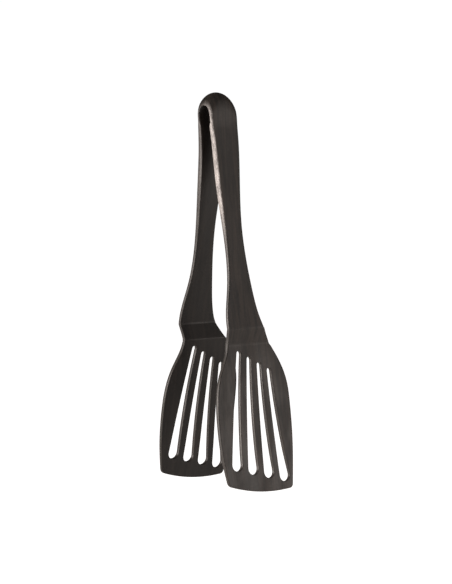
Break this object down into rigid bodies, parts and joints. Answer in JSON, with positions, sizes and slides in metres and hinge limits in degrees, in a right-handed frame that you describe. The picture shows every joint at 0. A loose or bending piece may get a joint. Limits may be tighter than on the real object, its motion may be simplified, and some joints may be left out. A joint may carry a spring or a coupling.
{
  "type": "turner tongs",
  "caption": "One-piece black nylon kitchen tongs: a domed spring bow, two tapering handles with cranked shoulders, and two slotted turner blades.",
  "frame": {"origin": "centre of the bow's loop, which is the axis that both arms flex about", "axes": "+X across the blades, +Y from the front arm to the rear arm, +Z from the blades up to the bow"},
  "size_m": [0.0697, 0.085, 0.2932],
  "materials": {
    "black_nylon": "satin moulded nylon with rubbed, lighter edges"
  },
  "bodies": {
    "bow": {"spring_bow": "black_nylon"},
    "front_arm": {"front_handle": "black_nylon", "front_shoulder": "black_nylon", "front_blade": "black_nylon"},
    "rear_arm": {"rear_handle": "black_nylon", "rear_shoulder": "black_nylon", "rear_blade": "black_nylon"}
  },
  "joints": [
    {"name": "front_squeeze", "type": "hinge", "parent": "bow", "child": "front_arm", "pos_m": [0, 0, 0], "axis": [1, 0, 0], "range_deg": [0, 7.6], "stiffness_Nm_per_rad": 4.5},
    {"name": "rear_squeeze", "type": "hinge", "parent": "bow", "child": "rear_arm", "pos_m": [0, 0, 0], "axis": [-1, 0, 0], "range_deg": [0, 7.6], "stiffness_Nm_per_rad": 4.5}
  ]
}
